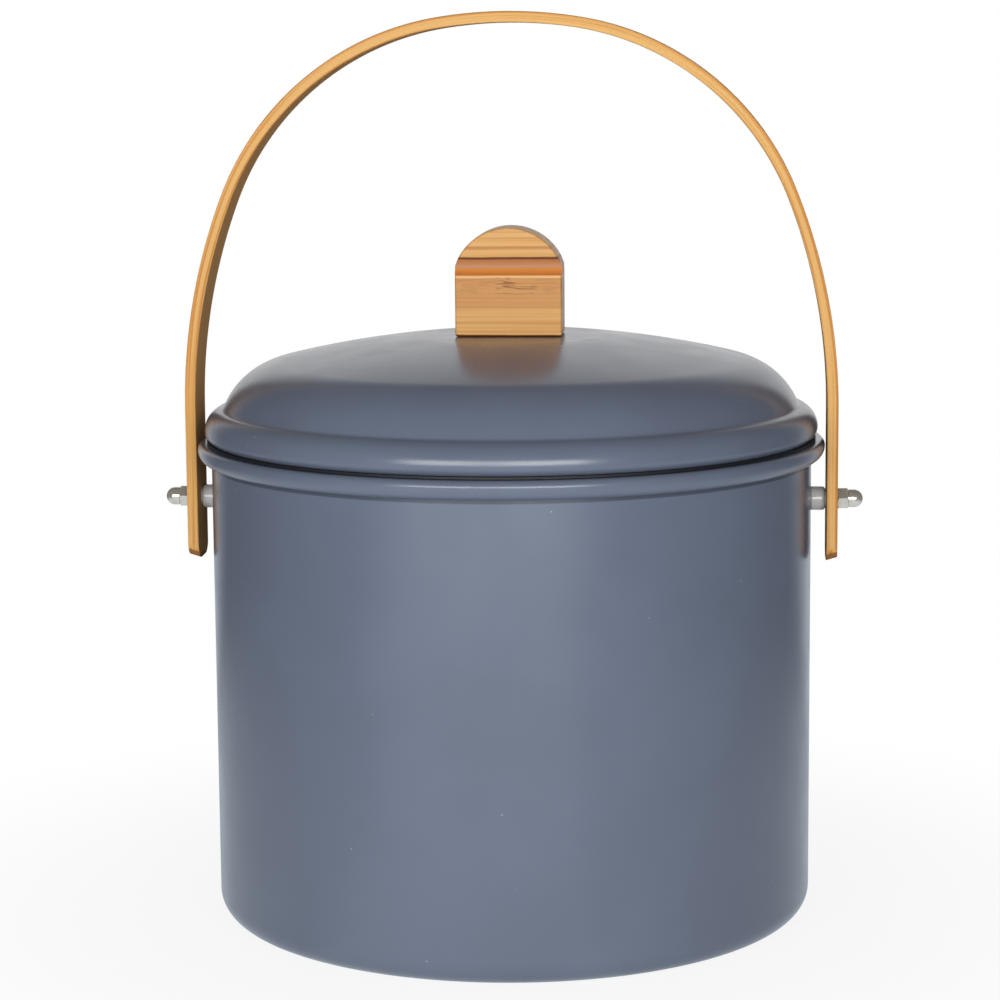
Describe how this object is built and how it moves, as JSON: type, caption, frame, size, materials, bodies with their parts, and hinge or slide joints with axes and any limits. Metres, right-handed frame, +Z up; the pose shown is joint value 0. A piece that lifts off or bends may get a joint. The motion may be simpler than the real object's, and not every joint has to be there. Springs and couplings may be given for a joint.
{
  "type": "compost bucket",
  "caption": "Kitchen compost bucket with an inner bucket, a lift-off lid with a knob and a filter, and a swinging bail.",
  "frame": {"origin": "centre of the base, on the surface that the bucket stands on", "axes": "+Z up, X along the bail's pivot axis, -Y towards the front of the picture"},
  "size_m": [0.2814, 0.2508, 0.3606],
  "materials": {
    "coat": "satin powder coat",
    "bamboo": "fine lengthwise grain under a clear satin lacquer",
    "nut": "polished",
    "screw": "plain zinc",
    "spacer": "moulded",
    "liner": "moulded",
    "housing": "moulded",
    "filter": "open black foam with charcoal",
    "seal": "soft matt silicone"
  },
  "bodies": {
    "bucket": {"bucket_body": "coat", "left_pivot_screw": "screw", "right_pivot_screw": "screw", "left_screw_washer": "screw", "right_screw_washer": "screw", "left_spacer": "spacer", "right_spacer": "spacer", "left_cap_nut": "nut", "right_cap_nut": "nut"},
    "bail": {"bail": "bamboo"},
    "liner": {"inner_bucket": "liner"},
    "lid": {"lid_shell": "coat", "lid_knob": "bamboo", "lid_seal": "seal", "filter_housing": "housing", "charcoal_filter": "filter", "left_knob_screw": "screw", "right_knob_screw": "screw", "left_knob_washer": "screw", "right_knob_washer": "screw"},
    "cover": {"filter_cover": "housing"}
  },
  "joints": [
    {"name": "bail_swing", "type": "hinge", "parent": "bucket", "child": "bail", "pos_m": [0, 0, 0.1673], "axis": [1, 0, 0], "range_deg": [-135, 135]},
    {"name": "liner_lift", "type": "slide", "parent": "bucket", "child": "liner", "axis": [0, 0, 1], "range_m": [0, 0.03]},
    {"name": "lid_lift", "type": "slide", "parent": "liner", "child": "lid", "axis": [0, 0, 1], "range_m": [0, 0.03]},
    {"name": "filter_cover_twist", "type": "hinge", "parent": "lid", "child": "cover", "pos_m": [0, 0, 0.215], "axis": [0, 0, 1], "range_deg": [-37, 0]}
  ]
}
